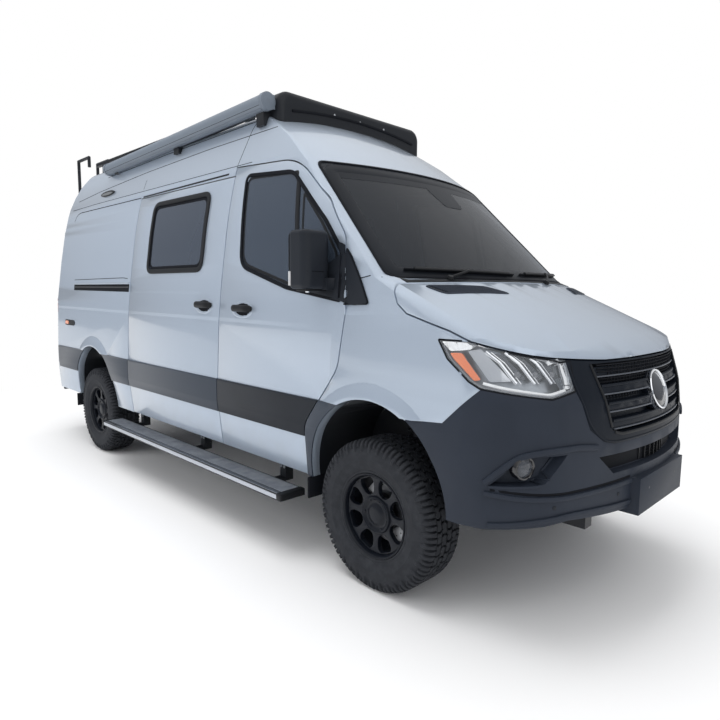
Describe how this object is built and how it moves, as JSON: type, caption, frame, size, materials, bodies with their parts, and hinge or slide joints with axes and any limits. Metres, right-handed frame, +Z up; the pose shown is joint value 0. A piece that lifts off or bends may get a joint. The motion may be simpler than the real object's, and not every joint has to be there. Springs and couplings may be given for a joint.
{
  "type": "camper van",
  "caption": "High-roof four-wheel-drive camper van with hinged cab and rear doors, side door, awning, roof rack, ladder, steering front wheels and opening bonnet.",
  "frame": {"origin": "on the ground, midway along the van's whole length and width", "axes": "+X towards the nose, +Y to the van's left, +Z up"},
  "size_m": [5.92, 2.3, 2.9749],
  "materials": {
    "body_paint": "metallic silver-blue body paint with clear coat",
    "black_plastic": "grained dark grey plastic",
    "black_paint": "satin black paint",
    "tinted_glass": "dark tinted glass",
    "tyre_rubber": "all-terrain tyre rubber",
    "wheel_black": "satin black painted alloy",
    "lamp_clear": "clear lamp cover over bright reflectors",
    "lamp_red": "red lamp lens",
    "suspension_steel": "dark cast and forged steel",
    "grey_aluminium": "grey anodised aluminium",
    "seat_cloth": "dark woven seat cloth",
    "inside_trim": "soft-touch inside trim",
    "roof_unit_white": "white moulded cover"
  },
  "bodies": {
    "van_body": {"body_shell": "body_paint", "sliding_door": "body_paint", "side_windows": "tinted_glass", "windscreen": "tinted_glass", "grille": "black_plastic", "front_bumper": "black_plastic", "cladding": "black_plastic", "rear_bumper": "black_plastic", "mud_flaps": "black_plastic", "roof_rack": "black_paint", "chassis": "black_paint", "engine": "suspension_steel", "front_subframe": "suspension_steel", "rear_axle": "suspension_steel", "headlamps": "lamp_clear", "tail_lamps": "lamp_red", "running_boards": "grey_aluminium", "awning": "grey_aluminium", "air_conditioner": "roof_unit_white", "dashboard": "inside_trim", "steering_wheel": "inside_trim", "front_seats": "seat_cloth", "cabin_furniture": "inside_trim"},
    "front_door_right": {"front_door_right": "body_paint", "front_glass_right": "tinted_glass", "front_trim_right": "black_plastic"},
    "front_door_left": {"front_door_left": "body_paint", "front_glass_left": "tinted_glass", "front_trim_left": "black_plastic"},
    "rear_door_right": {"rear_door_right": "body_paint", "rear_glass_right": "tinted_glass", "ladder": "black_paint"},
    "rear_door_left": {"rear_door_left": "body_paint", "rear_glass_left": "tinted_glass"},
    "bonnet": {"bonnet": "body_paint"},
    "knuckle_right": {"knuckle_right": "suspension_steel"},
    "knuckle_left": {"knuckle_left": "suspension_steel"},
    "wheel_front_right": {"tyre_front_right": "tyre_rubber", "rim_front_right": "wheel_black"},
    "wheel_front_left": {"tyre_front_left": "tyre_rubber", "rim_front_left": "wheel_black"},
    "wheel_rear_right": {"tyre_rear_right": "tyre_rubber", "rim_rear_right": "wheel_black"},
    "wheel_rear_left": {"tyre_rear_left": "tyre_rubber", "rim_rear_left": "wheel_black"}
  },
  "joints": [
    {"name": "front_door_right_hinge", "type": "hinge", "parent": "van_body", "child": "front_door_right", "pos_m": [1.68, -0.981, 1.48], "axis": [0, 0, 1], "range_deg": [0, 70]},
    {"name": "front_door_left_hinge", "type": "hinge", "parent": "van_body", "child": "front_door_left", "pos_m": [1.68, 0.981, 1.48], "axis": [0, 0, -1], "range_deg": [0, 70]},
    {"name": "rear_door_right_hinge", "type": "hinge", "parent": "van_body", "child": "rear_door_right", "pos_m": [-2.844, -0.872, 1.1], "axis": [0, 0, 1], "range_deg": [0, 95]},
    {"name": "rear_door_left_hinge", "type": "hinge", "parent": "van_body", "child": "rear_door_left", "pos_m": [-2.844, 0.872, 1.1], "axis": [0, 0, -1], "range_deg": [0, 95]},
    {"name": "bonnet_hinge", "type": "hinge", "parent": "van_body", "child": "bonnet", "pos_m": [1.955, 0, 1.665], "axis": [0, -1, 0], "range_deg": [0, 50]},
    {"name": "steering_left", "type": "hinge", "parent": "van_body", "child": "knuckle_left", "pos_m": [1.885, 0.8, 0.4], "axis": [0, 0, 1], "range_deg": [-32, 32]},
    {"name": "steering_right", "type": "hinge", "parent": "van_body", "child": "knuckle_right", "pos_m": [1.885, -0.8, 0.4], "axis": [0, 0, 1], "range_deg": [-32, 32]},
    {"name": "wheel_front_left_spin", "type": "hinge", "parent": "knuckle_left", "child": "wheel_front_left", "pos_m": [1.885, 0.86, 0.4], "axis": [0, 1, 0], "continuous": true},
    {"name": "wheel_front_right_spin", "type": "hinge", "parent": "knuckle_right", "child": "wheel_front_right", "pos_m": [1.885, -0.86, 0.4], "axis": [0, 1, 0], "continuous": true},
    {"name": "wheel_rear_left_spin", "type": "hinge", "parent": "van_body", "child": "wheel_rear_left", "pos_m": [-1.78, 0.86, 0.4], "axis": [0, 1, 0], "continuous": true},
    {"name": "wheel_rear_right_spin", "type": "hinge", "parent": "van_body", "child": "wheel_rear_right", "pos_m": [-1.78, -0.86, 0.4], "axis": [0, 1, 0], "continuous": true}
  ],
  "couplings": [
    {"joint": "steering_right", "follows": "steering_left", "ratio": 1}
  ]
}
